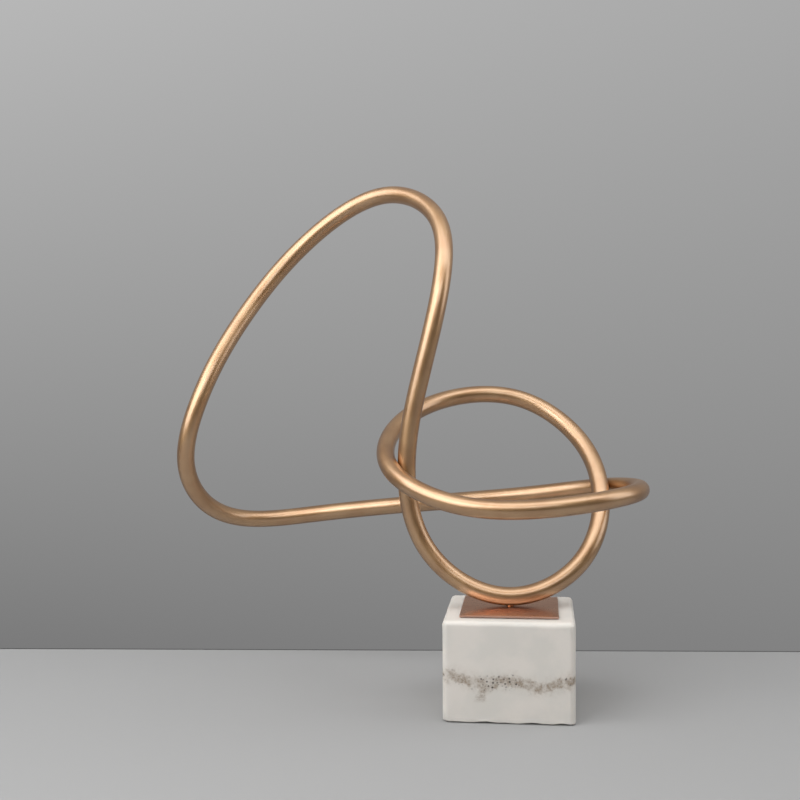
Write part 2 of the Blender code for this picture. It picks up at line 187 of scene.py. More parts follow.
class ShaderSheet:
    """The node sheet of one material or of the world."""

    def __init__(self, tree: bpy.types.NodeTree) -> None:
        """Opens the sheet on a node tree."""
        self.tree = tree

    def add(
        self,
        kind: str,
        settings: dict[str, Any] | None = None,
        sockets: dict[int | str, Any] | None = None,
        output: int | str = 0,
    ) -> Signal:
        """Adds a node: its settings first, then the values or links of its sockets.

        Args:
            kind: the node's type.
            settings: the node's own settings by name; "stops" and "blending" are those of a ramp.
            sockets: a signal, number or colour for each input, by its name or number.
            output: the name or number of the output that is handed back.

        Returns:
            The chosen output.
        """
        node = self.tree.nodes.new(kind)
        for name, value in (settings or {}).items():
            if name == "stops":
                self.set_stops(node.color_ramp, value)
            elif name == "blending":
                node.color_ramp.interpolation = value
            else:
                setattr(node, name, value)
        for key, value in (sockets or {}).items():
            self.feed(self.find(node.inputs, key), value)
        return Signal(self, self.find(node.outputs, output))

    @staticmethod
    def find(sockets: Any, key: int | str) -> bpy.types.NodeSocket:
        """The socket with this number, or the one in use with this name.

        Args:
            sockets: the inputs or the outputs of a node.
            key: the socket's number or name.

        Returns:
            The socket.
        """
        if isinstance(key, int):
            return sockets[key]
        return next(socket for socket in sockets if socket.name == key and socket.enabled)

    @staticmethod
    def set_stops(ramp: bpy.types.ColorRamp, stops: Sequence[tuple[float, Colour]]) -> None:
        """Gives a colour ramp its stops.

        Args:
            ramp: the ramp.
            stops: the stops in order, each a place from 0 to 1 and a colour.
        """
        while len(ramp.elements) < len(stops):
            ramp.elements.new(1.0)
        for element, (place, colour) in zip(ramp.elements, stops):
            element.position = place
            element.color = (*colour, 1.0)

    def feed(self, socket: bpy.types.NodeSocket, value: Any) -> None:
        """Links a signal to an input, or sets the input to a plain value.

        Args:
            socket: the input.
            value: the signal, or a number, vector or colour.
        """
        if isinstance(value, Signal):
            self.tree.links.new(value.socket, socket)
        elif isinstance(value, tuple) and socket.type == "RGBA":
            socket.default_value = (*value, 1.0)
        else:
            socket.default_value = value

    def surface(self, values: dict[str, Any]) -> None:
        """Sets or links sockets of the Principled shader.

        Args:
            values: a signal or a plain value for each, by the socket's name.
        """
        shader = self.tree.nodes["Principled BSDF"]
        for name, value in values.items():
            self.feed(shader.inputs[name], value)

    def place(self) -> Signal:
        """The point's place in the object, which is its place on the sculpture, in metres."""
        return self.add("ShaderNodeTexCoord", output="Object")

    def parts(self, vector: Signal) -> tuple[Signal, Signal, Signal]:
        """The three parts of a vector.

        Args:
            vector: the vector.

        Returns:
            Its x, y and z.
        """
        first = self.add("ShaderNodeSeparateXYZ", sockets={0: vector})
        outputs = first.socket.node.outputs
        return first, Signal(self, outputs[1]), Signal(self, outputs[2])

    def join(self, x: Operand, y: Operand, z: Operand) -> Signal:
        """A vector from three values."""
        return self.add("ShaderNodeCombineXYZ", sockets={0: x, 1: y, 2: z})

    def vector(self, operation: str, first: Any, second: Any) -> Signal:
        """One Vector Math node on two vectors."""
        return self.add("ShaderNodeVectorMath", {"operation": operation}, {0: first, 1: second})

    def scaled(self, vector: Signal, size: float) -> Signal:
        """A vector times a number."""
        return self.add("ShaderNodeVectorMath", {"operation": "SCALE"}, {"Vector": vector, "Scale": size})

    def clouds(self, place: Signal, size: float, detail: float = 2.0, harshness: float = 0.5) -> Signal:
        """Soft noise.

        Args:
            place: where it is read.
            size: how far apart its main features lie, in metres.
            detail: how many finer layers it has.
            harshness: how strong the finer layers are.

        Returns:
            The noise, around 0.5 and for the most part from 0.3 to 0.7.
        """
        values = {"Vector": place, "Scale": 1.0 / size, "Detail": detail, "Roughness": harshness}
        return self.add("ShaderNodeTexNoise", {"noise_dimensions": "3D"}, values)

    def cells(self, place: Signal, size: float, output: str) -> Signal:
        """Cells of this size: each one's chance colour, or the distance from its middle."""
        values = {"Vector": place, "Scale": 1.0 / size}
        return self.add("ShaderNodeTexVoronoi", {"feature": "F1"}, values, output)

    def blend(self, mask: Operand, low: Any, high: Any) -> Signal:
        """A colour between two: low where the mask is 0, high where it is 1."""
        values = {"Factor": mask, "A": low, "B": high}
        return self.add("ShaderNodeMix", {"data_type": "RGBA"}, values, "Result")

    def bump(self, height: Signal, depth: float, normal: Signal | None = None) -> Signal:
        """A normal that follows a height map.

        Args:
            height: the height, 0 to 1.
            depth: the height of 1, in metres.
            normal: the normal that it starts from, the surface's own if left out.

        Returns:
            The normal.
        """
        values: dict[int | str, Any] = {"Strength": 1.0, "Distance": depth, "Height": height}
        if normal is not None:
            values["Normal"] = normal
        return self.add("ShaderNodeBump", sockets=values)


@dataclass(frozen=True)
class Finish:
    """A named surface finish; each kind draws its own sheet."""

    name: str

    def draw(self, sheet: ShaderSheet) -> None:
        """Draws the finish on a sheet."""
        raise NotImplementedError

    def make(self) -> bpy.types.Material:
        """Makes the material of this finish.

        Returns:
            The material.
        """
        material = bpy.data.materials.new(self.name)
        material.use_nodes = True
        self.draw(ShaderSheet(material.node_tree))
        return material


@dataclass(frozen=True)
class SatinGoldPaint(Finish):
    """Champagne-gold metallic paint: fine metal flakes under a thin satin binder."""

    name: str = "champagne_gold_paint"
    light: Colour = (0.60, 0.385, 0.18)
    deep: Colour = (0.53, 0.308, 0.118)
    edge: Colour = (0.45, 0.32, 0.24)
    varnish: Colour = (0.90, 0.79, 0.67)
    roughness: float = 0.42
    gloss: float = 1.0
    gloss_roughness: float = 0.28
    gloss_bend: float = 2.20
    drift_size: float = 0.016
    grain_size: float = 0.0006
    flake_size: float = 0.00028
    flake_tilt: float = 0.008
    peel_size: float = 0.0021
    peel_depth: float = 0.0000025

    def draw(self, sheet: ShaderSheet) -> None:
        """Flakes that tilt a little each, an orange-peel skin, and a slow drift of tone.

        Args:
            sheet: the material's node sheet.
        """
        place = sheet.place()
        drift = sheet.clouds(place, self.drift_size, 3.0).step(0.35, 0.65)
        grain = sheet.clouds(place, self.grain_size, 2.0, 0.6)
        flakes = sheet.cells(place, self.flake_size, "Color")
        skin = sheet.bump(sheet.clouds(place, self.peel_size), self.peel_depth)
        lean = sheet.vector("SUBTRACT", flakes, (0.5, 0.5, 0.5))
        tilted = sheet.vector("ADD", skin, sheet.scaled(lean, self.flake_tilt))
        normal = sheet.add("ShaderNodeVectorMath", {"operation": "NORMALIZE"}, {0: tilted})
        sheet.surface(
            {
                "Base Color": sheet.blend(drift, self.deep, self.light),
                "Metallic": 1.0,
                "Roughness": self.roughness + grain.swing(0.08) + drift.swing(0.03),
                "Specular Tint": self.edge,
                "Coat Weight": self.gloss,
                "Coat Roughness": self.gloss_roughness,
                "Coat IOR": self.gloss_bend,
                "Coat Tint": self.varnish,
                "Normal": normal,
            }
        )


@dataclass(frozen=True)
class RosePlating(Finish):
    """Thin polished rose-coloured plate with faint polishing lines and a few smudges."""

    name: str = "polished_rose_plating"
    clean: Colour = (0.76, 0.52, 0.41)
    dull: Colour = (0.67, 0.45, 0.36)
    slant: Colour = (0.98, 0.80, 0.70)
    rim_shade_colour: Colour = (0.44, 0.27, 0.21)
    roughness: float = 0.28
    line_size: float = 0.0005
    line_depth: float = 0.0000012
    line_squeeze: float = 0.08
    wave_size: float = 0.009
    wave_depth: float = 0.00006
    smudge_size: float = 0.012
    rim_inset: Span = (0.00012, 0.00004)

    def draw(self, sheet: ShaderSheet) -> None:
        """Polishing lines along the plate, slight waves, duller smudges and a rim with painted shade:
        darker, less metallic and rougher, standing in for the dark reflection along the plate's edge.

        Args:
            sheet: the material's node sheet.
        """
        place = sheet.place()
        x, y, z = sheet.parts(place)
        lines = sheet.clouds(sheet.join(x * self.line_squeeze, y, z), self.line_size, 3.0, 0.6)
        smudge = sheet.clouds(place, self.smudge_size, 4.0, 0.6).step(0.50, 0.72)
        rolled = sheet.bump(sheet.clouds(place, self.wave_size), self.wave_depth)
        # Painted shade: the plate's outermost rim is darkened to stand in for its dark reflection of the
        # room in front.
        rim_shade = abs(x).larger(abs(y)).step(*(PLATE_SIDE / 2 - inset for inset in self.rim_inset))
        sheet.surface(
            {
                "Base Color": sheet.blend(rim_shade, sheet.blend(smudge * 0.7, self.clean, self.dull), self.rim_shade_colour),
                "Metallic": 1.0 - rim_shade * 0.65,
                "Specular Tint": self.slant,
                "Roughness": self.roughness + smudge * 0.10 + lines.swing(0.06) + rim_shade * 0.30,
                "Normal": sheet.bump(lines, self.line_depth, rolled),
            }
        )


@dataclass(frozen=True)
class VeinedMarble(Finish):
    """White marble, honed: one wavy grey-brown vein sheet through the block, with dark crystals in it."""

    name: str = "white_veined_marble"
    ground: Colour = (0.79, 0.745, 0.69)
    cool: Colour = (0.73, 0.70, 0.65)
    vein: Colour = (0.36, 0.29, 0.225)
    crystal: Colour = (0.10, 0.085, 0.075)
    roughness: float = 0.40
    cloud_size: float = 0.021
    vein_low: float = 0.0150
    vein_rise: float = 0.0150
    vein_bends: tuple[Span, ...] = (
        (0.00, 0.84), (0.13, 0.84), (0.20, 0.62), (0.33, 0.54), (0.45, 0.68),
        (0.56, 0.66), (0.64, 0.54), (0.76, 0.42), (0.86, 0.56), (0.96, 0.74),
    )
    vein_reach: Span = (0.0046, 0.0010)
    halo_reach: Span = (0.0080, 0.0010)
    sway_size: float = 0.022
    sway: float = 0.026
    sway_behind: Span = (-0.036, -0.018)
    ragged_size: float = 0.0040
    ragged: float = 0.0085
    broken_size: float = 0.0055
    grain_size: float = 0.0012
    spur_across: float = -0.0150
    spur_height: float = 0.0180
    spur_lean: float = 0.35
    spur_reach: Span = (0.0042, 0.0008)
    spur_foot: Span = (0.0115, 0.0150)
    spur_head: Span = (0.0240, 0.0200)
    spur_behind: Span = (0.0, -0.025)
    spot_size: float = 0.0021
    spot_reach: Span = (0.0052, 0.0020)
    cluster_across: float = -0.0030
    cluster_reach: Span = (0.0090, 0.0055)
    strewn_size: float = 0.008
    pit_size: float = 0.0009
    pit_depth: float = 0.00003
    milkiness: float = 0.12
    milk_reach: Place = (0.004, 0.0035, 0.003)

    def draw(self, sheet: ShaderSheet) -> None:
        """Cloudy ground, the vein by its distance from the point, its spur, crystals and pits.

        Args:
            sheet: the material's node sheet.
        """
        place = sheet.place()
        x, y, z = sheet.parts(place)
        clouds = sheet.clouds(place, self.cloud_size, 4.0, 0.55).step(0.36, 0.66)
        ground = sheet.blend(clouds, self.cool, self.ground)

        stops = [(share, (rise,) * 3) for share, rise in self.vein_bends]
        across = (x + BLOCK_SIDE / 2) / BLOCK_SIDE
        line = sheet.add("ShaderNodeValToRGB", {"stops": stops, "blending": "B_SPLINE"}, {0: across})
        grown = sheet.add("ShaderNodeRGBToBW", sockets={0: line}) * self.vein_rise + self.vein_low
        sway = sheet.clouds(sheet.join(0.0, y, z * 0.3), self.sway_size).swing(self.sway)
        ragged = sheet.clouds(place, self.ragged_size, 3.0, 0.65).swing(self.ragged)
        off = abs(z - grown + sway * y.step(*self.sway_behind) + ragged)
        spur_off = abs(x - self.spur_across - (z - self.spur_height) * self.spur_lean + ragged * 0.8)
        spur = spur_off.step(*self.spur_reach) * z.step(*self.spur_foot) * z.step(*self.spur_head)
        spur = spur * y.step(*self.spur_behind)
        broken = sheet.clouds(place, self.broken_size, 4.0, 0.66).step(0.38, 0.60)
        grain = sheet.clouds(place, self.grain_size, 3.0, 0.75).step(0.36, 0.64)
        body = off.step(*self.vein_reach).larger(spur)
        vein = body * (0.28 + broken * 0.72) * (0.46 + grain * 0.54)
        halo = off.step(*self.halo_reach) * (0.10 + broken * 0.16)
        coloured = sheet.blend(vein * 0.90 + halo, ground, self.vein)

        spots = sheet.cells(place, self.spot_size, "Distance").step(0.38, 0.18)
        cluster = abs(x - self.cluster_across).step(*self.cluster_reach)
        strewn = cluster.larger(sheet.clouds(place, self.strewn_size, 1.0).step(0.48, 0.58))
        crystals = spots * off.step(*self.spot_reach) * strewn
        pits = sheet.clouds(place, self.pit_size, 2.0, 0.6)
        sheet.surface(
            {
                "Base Color": sheet.blend(crystals, coloured, self.crystal),
                "Roughness": self.roughness + vein * 0.12 + pits.swing(0.10),
                "Specular IOR Level": 0.5,
                "Subsurface Weight": self.milkiness,
                "Subsurface Radius": self.milk_reach,
                "Subsurface Scale": 1.0,
                "Normal": sheet.bump(pits * 0.6 + vein * 0.4, self.pit_depth),
            }
        )


@dataclass(frozen=True)
class ZincSteel(Finish):
    """Zinc-plated steel: grey, slightly mottled, with fine turning lines, painted over where it shows."""

    name: str = "zinc_plated_steel"
    bright: Colour = (0.62, 0.63, 0.65)
    dull: Colour = (0.48, 0.50, 0.53)
    paint: Colour = (0.78, 0.40, 0.20)
    painted: Span = (0.0599, 0.0602)
    roughness: float = 0.26
    mottle_size: float = 0.0018
    line_size: float = 0.0003
    line_depth: float = 0.000004

    def draw(self, sheet: ShaderSheet) -> None:
        """Mottled zinc; what stands over the plate took paint with the tube.

        Args:
            sheet: the material's node sheet.
        """
        place = sheet.place()
        mottle = sheet.clouds(place, self.mottle_size, 3.0, 0.6).step(0.35, 0.65)
        lines = sheet.clouds(place, self.line_size, 2.0, 0.6)
        painted = sheet.parts(place)[2].step(*self.painted)
        sheet.surface(
            {
                "Base Color": sheet.blend(painted, sheet.blend(mottle, self.dull, self.bright), self.paint),
                "Metallic": 1.0,
                "Roughness": self.roughness + mottle * 0.10,
                "Normal": sheet.bump(lines, self.line_depth),
            }
        )


@dataclass(frozen=True)
class BlackFoam(Finish):
    """Matt black foam rubber with small open cells."""

    name: str = "black_foam_rubber"
    skin: Colour = (0.035, 0.034, 0.033)
    cell_shade: Colour = (0.010, 0.010, 0.010)
    roughness: float = 0.82
    cell_size: float = 0.0006
    cell_depth: float = 0.0001

    def draw(self, sheet: ShaderSheet) -> None:
        """Open cells, with painted shade inside them.

        Args:
            sheet: the material's node sheet.
        """
        # Painted shade: the middles of the cells are darker, as shade falls into the open pores.
        cells = sheet.cells(sheet.place(), self.cell_size, "Distance").step(0.15, 0.60)
        sheet.surface(
            {
                "Base Color": sheet.blend(cells, self.cell_shade, self.skin),
                "Roughness": self.roughness + cells * 0.10,
                "Normal": sheet.bump(cells, self.cell_depth),
            }
        )


@dataclass(frozen=True)
class MattBoard(Finish):
    """Plain matt board of one pale colour, for the floor."""

    name: str = "pale_floor"
    colour: Colour = (0.362, 0.362, 0.362)
    cloud_size: float = 0.22
    cloud_shade: float = 0.985
    roughness: float = 0.9
    shine: float = 0.2

    def draw(self, sheet: ShaderSheet) -> None:
        """One colour with a very faint cloudiness.

        Args:
            sheet: the material's node sheet.
        """
        tone = sheet.clouds(sheet.place(), self.cloud_size)
        shade = sheet.blend(tone, tuple(part * self.cloud_shade for part in self.colour), self.colour)
        sheet.surface({"Base Color": shade, "Roughness": self.roughness, "Specular IOR Level": self.shine})


@dataclass(frozen=True)
class EvenBackdrop(Finish):
    """Backdrop of an even look: painted light makes it paler upwards and to the upper left, as the lamps'
    light falls, and a painted shade line runs along its foot.
    """

    name: str = "pale_backdrop"
    colour: Colour = (0.45, 0.45, 0.45)
    roughness: float = 0.9
    shine: float = 0.2
    low: float = 0.210
    rise: float = 0.48
    top: float = 0.46
    top_softness: float = 0.06
    slant: float = 0.38
    slant_height: float = 0.5
    middle: float = -0.06
    reach: float = 0.45
    level_height: float = 0.125
    foot_line: float = 0.0008
    foot_shade: float = 0.55

    def draw(self, sheet: ShaderSheet) -> None:
        """Shows its painted tone, a glow with painted light and painted shade in it, to the camera and in
        reflections, and lies in the light as a plain board.

        From behind, it is clear to the camera.

        Args:
            sheet: the material's node sheet.
        """
        x, _, z = sheet.parts(sheet.place())
        # Painted light: the tone climbs with height and leans paler to the upper left, as light falls from
        # there.
        painted_climb = z * self.rise + self.low
        painted_climb = painted_climb.math("SMOOTH_MIN", painted_climb, self.top, self.top_softness)
        limits = {"Value": x - self.middle, "Min": -self.reach, "Max": self.reach}
        aside = sheet.add("ShaderNodeClamp", sockets=limits)
        lean = aside * (z.math("MINIMUM", z, self.slant_height) - self.level_height) * self.slant
        # Painted shade: a dark line along the foot, where the backdrop meets the floor.
        foot = z.step(self.foot_line, self.foot_line * 0.5)
        tone = (painted_climb - lean) * (1.0 - self.foot_shade * foot)
        painted_glow = sheet.add("ShaderNodeEmission", sockets={"Color": sheet.join(tone, tone, tone)})
        sheet.surface(
            {"Base Color": self.colour, "Roughness": self.roughness, "Specular IOR Level": self.shine}
        )
        board = Signal(sheet, sheet.tree.nodes["Principled BSDF"].outputs[0])
        camera, glossy, through = (
            sheet.add("ShaderNodeLightPath", output=f"Is {kind} Ray")
            for kind in ("Camera", "Glossy", "Transmission")
        )
        front = sheet.add("ShaderNodeMixShader", sockets={0: camera + glossy + through, 1: board, 2: painted_glow})
        back = sheet.add("ShaderNodeNewGeometry", output="Backfacing")
        clear = sheet.add("ShaderNodeBsdfTransparent")
        whole = sheet.add("ShaderNodeMixShader", sockets={0: back * camera, 1: front, 2: clear})
        sheet.feed(sheet.tree.nodes["Material Output"].inputs["Surface"], whole)


def ring_mesh(name: str, rings: np.ndarray) -> bpy.types.Mesh:
    """Joins equal closed rings of points into a skin that closes on itself both ways.

    Args:
        name: the mesh's name.
        rings: the points, shaped (rings, points in a ring, 3).

    Returns:
        The mesh, smooth shaded, its faces outward.
    """
    count, around = rings.shape[:2]
    ring = np.arange(count)[:, None] * around
    after = np.roll(ring, -1, axis=0)
    spot = np.arange(around)[None, :]
    beside = np.roll(spot, -1, axis=1)
    faces = np.stack([ring + spot, ring + beside, after + beside, after + spot], axis=2).reshape(-1, 4)
    mesh = bpy.data.meshes.new(name)
    mesh.from_pydata(rings.reshape(-1, 3).tolist(), [], faces.tolist())
    builder = bmesh.new()
    builder.from_mesh(mesh)
    bmesh.ops.recalc_face_normals(builder, faces=builder.faces)
    builder.to_mesh(mesh)
    builder.free()
    mesh.shade_smooth()
    return mesh


def add_piece(name: str, mesh: bpy.types.Mesh, finish: Finish) -> bpy.types.Object:
    """Places a mesh in the scene with its finish.

    Args:
        name: the piece's name.
        mesh: its mesh.
        finish: its only finish.

    Returns:
        The piece.
    """
    piece = bpy.data.objects.new(name, mesh)
    bpy.context.scene.collection.objects.link(piece)
    mesh.materials.append(finish.make())
    return piece


def stand_in_for(piece: bpy.types.Object, slot: Slot, *nodes: str) -> None:
    """Fixes a piece to the body in place of solids.

    Args:
        piece: the piece.
        slot: the material slot of the piece; not used.
        nodes: the solids that it stands in for.
    """
    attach(piece, BODY)
    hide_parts(*nodes)


class ClosedRoute:
    """A smooth closed curve through stops, read by its length from the first one."""

    def __init__(self, stops: Sequence[Stop], samples: int) -> None:
        """Fits the curve.

        Args:
            stops: the named stops in order, each with its place.
            samples: how many points are worked out between two stops.
        """
        knots = np.array([stop[1:] for stop in stops])
        after = np.roll(knots, -1, axis=0)
        spans = np.linalg.norm(after - knots, axis=1)
        slopes = self.slopes_of(knots, after, spans)
        share = np.linspace(0.0, 1.0, samples, endpoint=False)[:, None]
        stretches = []
        for i, span in enumerate(spans):
            leave, arrive = slopes[i] * span, slopes[(i + 1) % len(knots)] * span
            stretches.append(
                (2 * share**3 - 3 * share**2 + 1) * knots[i]
                + (share**3 - 2 * share**2 + share) * leave
                + (3 * share**2 - 2 * share**3) * after[i]
                + (share**3 - share**2) * arrive
            )
        self.points = np.vstack(stretches + [knots[:1]])
        steps = np.linalg.norm(np.diff(self.points, axis=0), axis=1)
        self.travel = np.concatenate([[0.0], np.cumsum(steps)])
        self.length = float(self.travel[-1])

    @staticmethod
    def slopes_of(knots: np.ndarray, after: np.ndarray, spans: np.ndarray) -> np.ndarray:
        """The slope at each stop that keeps the curve's bend unbroken all round.

        Args:
            knots: the stops.
            after: the stop that follows each.
            spans: the distance from each to the next.

        Returns:
            One slope vector for each stop.
        """
        count = len(knots)
        before_span = np.roll(spans, 1)
        system = np.zeros((count, count))
        for i in range(count):
            system[i, i - 1] += 1 / before_span[i]
            system[i, i] += 2 / before_span[i] + 2 / spans[i]
            system[i, (i + 1) % count] += 1 / spans[i]
        rise_after = (after - knots) / spans[:, None] ** 2
        rise_before = np.roll(rise_after, 1, axis=0)
        return np.linalg.solve(system, 3 * (rise_after + rise_before))

    def even_points(self, step: float) -> np.ndarray:
        """Points all round, evenly spaced.

        Args:
            step: about how far apart they lie.

        Returns:
            The points, shaped (points, 3).
        """
        count = math.ceil(self.length / step)
        lengths = np.arange(count) * self.length / count
        parts = [np.interp(lengths, self.travel, self.points[:, axis]) for axis in range(3)]
        return np.stack(parts, axis=1)

    def rings(self, radius: float, sides: int, step: float) -> np.ndarray:
        """Round sections all along the curve, without a twist where it closes.

        Args:
            radius: the sections' radius.
            sides: how many points each has.
            step: how far apart they stand.

        Returns:
            The points, shaped (sections, sides, 3).
        """
        middle = self.even_points(step)
        ahead = np.roll(middle, -1, axis=0) - np.roll(middle, 1, axis=0)
        ahead /= np.linalg.norm(ahead, axis=1)[:, None]
        side = np.cross(ahead[0], (0.0, 0.0, 1.0))
        sides_on = []
        for direction in np.vstack([ahead, ahead[:1]]):
            side = side - direction * (side @ direction)
            side /= np.linalg.norm(side)
            sides_on.append(side)
        last, first = sides_on.pop(), sides_on[0]
        twist = math.atan2(np.cross(last, first) @ ahead[0], last @ first)
        across = np.array(sides_on)
        over = np.cross(ahead, across)
        unwind = np.arange(len(middle))[:, None] * twist / len(middle)
        turn = unwind + np.arange(sides) * 2 * math.pi / sides
        spread = np.cos(turn)[..., None] * across[:, None] + np.sin(turn)[..., None] * over[:, None]
        return middle[:, None] + radius * spread


@dataclass
class BentTube:
    """The closed, seamless painted tube, with its bolt hole at the foot."""

    outer: float = 0.0112
    wall: float = 0.0010
    route_samples: int = 72
    sides: int = 44
    step: float = 0.0027
    inner_sides: int = 16
    inner_step: float = 0.0075
    hole_radius: float = 0.0024
    hole_low: float = 0.0590
    hole_high: float = 0.0650
    hole_sides: int = 32
    paint: Finish = SatinGoldPaint()

    def build(self) -> bpy.types.Object:
        """Builds the tube in place of its three solids.

        Returns:
            The tube.
        """
        route = ClosedRoute(TUBE_STOPS, self.route_samples)
        radius = self.outer / 2
        skin = ring_mesh("bent_tube", route.rings(radius, self.sides, self.step))
        bore = ring_mesh("tube_bore", route.rings(radius - self.wall, self.inner_sides, self.inner_step))
        bore.flip_normals()
        builder = bmesh.new()
        builder.from_mesh(skin)
        builder.from_mesh(bore)
        builder.to_mesh(skin)
        builder.free()
        bpy.data.meshes.remove(bore)
        tube = add_piece("bent_tube", skin, self.paint)
        self.drill(tube)
        stand_in_for(tube, Slot.PAINT, "big_loop_tube", "lying_ring_tube", "standing_ring_tube")
        return tube

    def drill(self, tube: bpy.types.Object) -> None:
        """Cuts the bolt's hole through the wall at the foot.

        Args:
            tube: the tube.
        """
        builder = bmesh.new()
        height = self.hole_high - self.hole_low
        raised = Matrix.Translation((0.0, 0.0, self.hole_low + height / 2))
        bmesh.ops.create_cone(
            builder, cap_ends=True, segments=self.hole_sides, radius1=self.hole_radius,
            radius2=self.hole_radius, depth=height, matrix=raised,
        )
        bit = bpy.data.meshes.new("foot_hole")
        builder.to_mesh(bit)
        builder.free()
        tool = bpy.data.objects.new("foot_hole", bit)
        bpy.context.scene.collection.objects.link(tool)
        cut = tube.modifiers.new("foot_hole", "BOOLEAN")
        cut.operation, cut.solver, cut.object = "DIFFERENCE", "EXACT", tool
        graph = bpy.context.evaluated_depsgraph_get()
        opened = bpy.data.meshes.new_from_object(tube.evaluated_get(graph))
        tube.modifiers.clear()
        uncut, tube.data = tube.data, opened
        opened.shade_smooth()
        bpy.data.meshes.remove(uncut)
        bpy.data.objects.remove(tool, do_unlink=True)
        bpy.data.meshes.remove(bit)


@dataclass
class SoftSlab:
    """A square slab with rounded edges and a hole down its middle, built from closed rings."""

    side: float
    foot: float
    height: float
    corner: float
    hole: float
    recess: float = 0.0
    recess_depth: float = 0.0
    side_points: int = 30
    corner_points: int = 9
    rim_steps: int = 8
    upright_steps: int = 26
    cap_steps: int = 14

    def outline(self) -> tuple[np.ndarray, np.ndarray]:
        """The slab's plan.

        Returns:
            The middles that the outline is drawn round, and its outward directions, one for each point.
        """
        core = self.side / 2 - self.corner
        shares = -np.cos(np.linspace(0.0, math.pi, self.side_points))
        middles, outward = [], []
        for quarter in range(4):
            out = np.array((math.cos(quarter * math.pi / 2), math.sin(quarter * math.pi / 2)))
            along = np.array((-out[1], out[0]))
            for share in shares:
                middles.append(core * (out + along * share))
                outward.append(out)
            for i in range(1, self.corner_points + 1):
                angle = (quarter + i / (self.corner_points + 1)) * math.pi / 2
                middles.append(core * (out + along))
                outward.append(np.array((math.cos(angle), math.sin(angle))))
        return np.array(middles), np.array(outward)

    def rings(
        self, rim_top: np.ndarray | float, rim_foot: np.ndarray | float, drop: np.ndarray | float = 0.0
    ) -> np.ndarray:
        """The slab's rings, from the top rim down the outside, in below, up the hole and out over the top.

        Args:
            rim_top: the rounding of the top edge, one for all points or one each.
            rim_foot: the rounding of the bottom edge, the same way.
            drop: how far the bottom edge hangs below the foot, the same way.

        Returns:
            The points, shaped (rings, points in a ring, 3).
        """
        middles, outward = self.outline()
        top, low = self.foot + self.height, self.foot
        none = np.zeros(len(middles))
        rim_top, rim_foot, hang = rim_top + none, rim_foot + none, low - drop
        rings = []

        def level(inset: np.ndarray, height: np.ndarray | float) -> np.ndarray:
            """One ring of the outside, this far in and this high."""
            return np.column_stack([middles + outward * (self.corner - inset)[:, None], height + none])

        for angle in np.linspace(math.pi / 2, 0.0, self.rim_steps + 1):
            inset, fall = 1 - math.cos(angle), 1 - math.sin(angle)
            rings.append(level(rim_top * inset, top - rim_top * fall))
        high, deep = top - rim_top, low + rim_foot - drop
        for share in np.linspace(0.0, 1.0, self.upright_steps + 1)[1:-1]:
            rings.append(level(none, high + (deep - high) * share))
        for angle in np.linspace(0.0, math.pi / 2, self.rim_steps + 1):
            inset, fall = 1 - math.cos(angle), 1 - math.sin(angle)
            rings.append(level(rim_foot * inset, hang + rim_foot * fall))
        direction = np.arctan2(rings[0][:, 1], rings[0][:, 0])
        circle = np.stack([np.cos(direction), np.sin(direction)], axis=1)

        def bore(radius: float, height: float) -> np.ndarray:
            """One ring of the hole, this wide and this high."""
            return np.column_stack([circle * radius, np.full(len(circle), height)])

        inward = [bore(self.recess or self.hole, low)]
        if self.recess:
            ceiling = low + self.recess_depth
            inward += [bore(self.recess, ceiling), bore(self.hole, ceiling)]
        inward.append(bore(self.hole, top))
        shares = np.linspace(0.0, 1.0, self.cap_steps + 1)[1:-1]
        below = [rings[-1] + (inward[0] - rings[-1]) * share for share in shares]
        above = [inward[-1] + (rings[0] - inward[-1]) * share for share in shares]
        return np.array(rings + below + inward + above)


@dataclass(frozen=True)
class Wear:
    """Smooth unevenness along an outline, the same each run."""

    size: float
    seed: float

    def along(self, outline: np.ndarray) -> np.ndarray:
        """Values from -1 to 1, one for each point of the outline."""
        return np.array([noise.noise(Vector((x, y, self.seed))) for x, y in outline / self.size])


